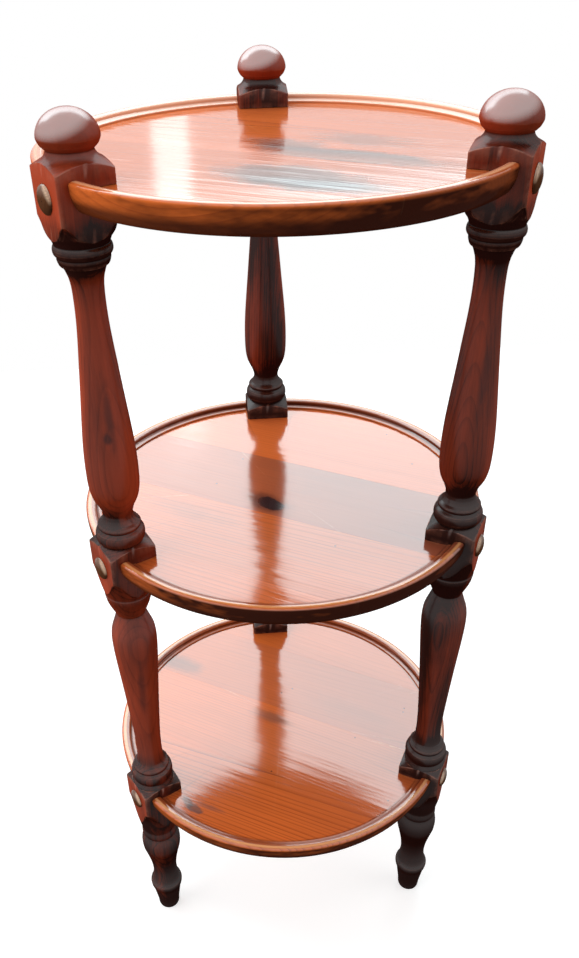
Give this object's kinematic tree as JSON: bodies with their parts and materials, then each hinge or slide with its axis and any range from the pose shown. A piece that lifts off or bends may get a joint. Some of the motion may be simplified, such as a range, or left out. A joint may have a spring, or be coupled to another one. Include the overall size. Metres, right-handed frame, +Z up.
{
  "type": "etagere table",
  "caption": "Tiered etagere side table: round dished pine shelves with rounded rims, lapped into turned posts with ball finials and tapered feet.",
  "frame": {"origin": "on the shelves' common axis at floor level, at the bottom centre of the whole table to within 5 mm", "axes": "+Z up; +Y towards the rear post; the two front posts stand to either side of -Y"},
  "size_m": [0.3268, 0.3358, 0.7795],
  "materials": {
    "post_hardwood": "glossy dark red-brown stain and lacquer",
    "shelf_pine": "orange pine under high-gloss clear lacquer",
    "plug_wood": "duller brown wood, satin",
    "screw_steel": "plain steel"
  },
  "bodies": {
    "root": {"post_rear": "post_hardwood", "post_front_left": "post_hardwood", "post_front_right": "post_hardwood", "low_shelf_board_1": "shelf_pine", "low_shelf_board_2": "shelf_pine", "low_shelf_board_3": "shelf_pine", "low_shelf_board_4": "shelf_pine", "middle_shelf_board_1": "shelf_pine", "middle_shelf_board_2": "shelf_pine", "middle_shelf_board_3": "shelf_pine", "middle_shelf_board_4": "shelf_pine", "top_shelf_board_1": "shelf_pine", "top_shelf_board_2": "shelf_pine", "top_shelf_board_3": "shelf_pine", "top_shelf_board_4": "shelf_pine", "plug_low_rear": "plug_wood", "plug_low_front_left": "plug_wood", "plug_low_front_right": "plug_wood", "plug_middle_rear": "plug_wood", "plug_middle_front_left": "plug_wood", "plug_middle_front_right": "plug_wood", "plug_top_rear": "plug_wood", "plug_top_front_left": "plug_wood", "plug_top_front_right": "plug_wood", "screw_low_rear": "screw_steel", "screw_low_front_left": "screw_steel", "screw_low_front_right": "screw_steel", "screw_middle_rear": "screw_steel", "screw_middle_front_left": "screw_steel", "screw_middle_front_right": "screw_steel", "screw_top_rear": "screw_steel", "screw_top_front_left": "screw_steel", "screw_top_front_right": "screw_steel"}
  },
  "joints": []
}
